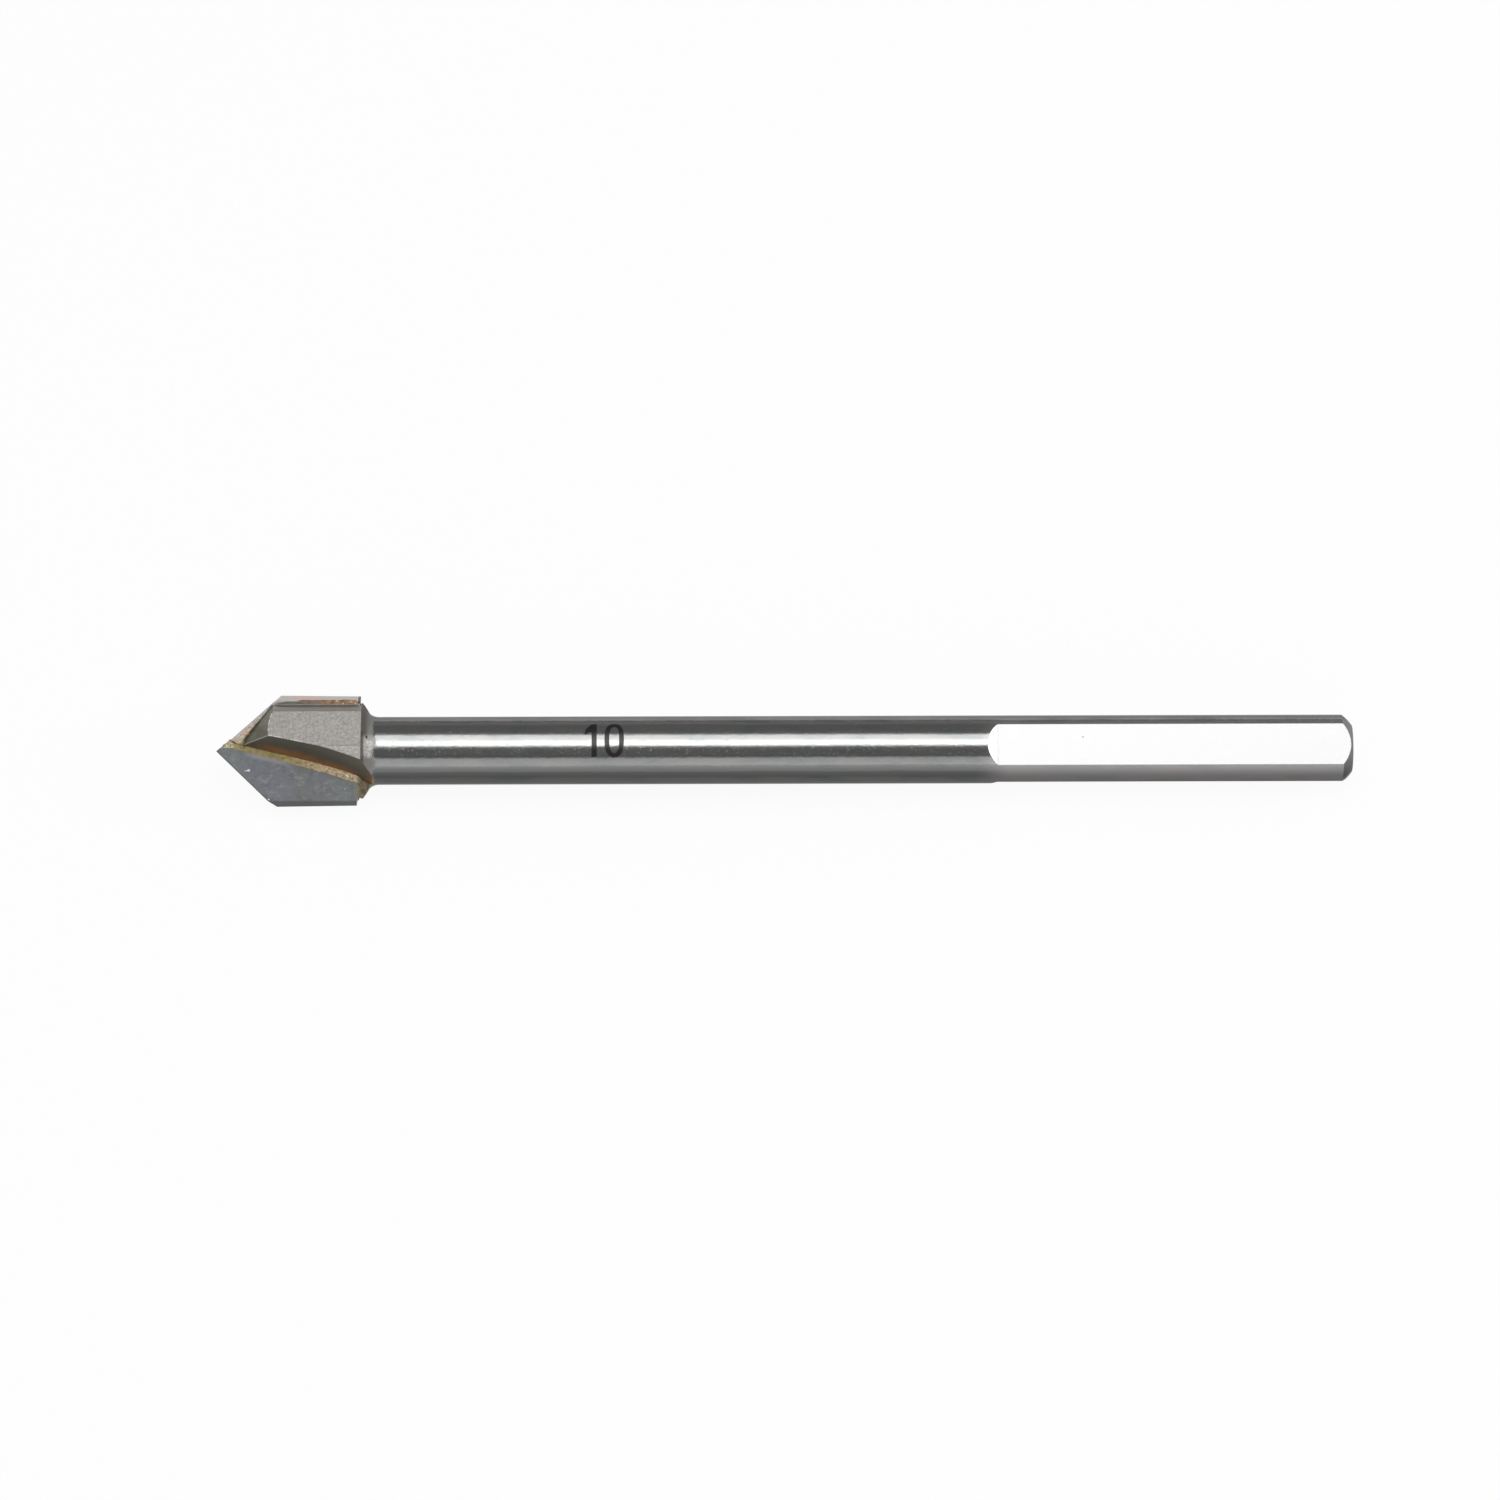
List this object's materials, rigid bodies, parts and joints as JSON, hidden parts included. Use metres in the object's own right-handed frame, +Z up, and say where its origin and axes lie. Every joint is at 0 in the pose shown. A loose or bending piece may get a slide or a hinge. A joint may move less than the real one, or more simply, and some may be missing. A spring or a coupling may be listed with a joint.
{
  "type": "glass and tile drill bit",
  "caption": "Spear-point glass and tile drill bit: a carbide plate brazed across a slotted, fluted steel head on a round shank with driving flats, lying at rest.",
  "frame": {"origin": "centre of the footprint on the ground, with the bit lying on the flat of one prong and the end of its shank", "axes": "+X from the point towards the shank's end, +Y across the bit, +Z up"},
  "size_m": [0.1, 0.0094, 0.0076],
  "materials": {
    "steel": "ground bright on the shank, grit-blasted on the head",
    "carbide": "fine matt grey sintered carbide",
    "braze": "dull, lumpy brass with copper tint"
  },
  "bodies": {
    "root": {"drill_body": "steel", "carbide_plate": "carbide", "braze": "braze"}
  },
  "joints": []
}
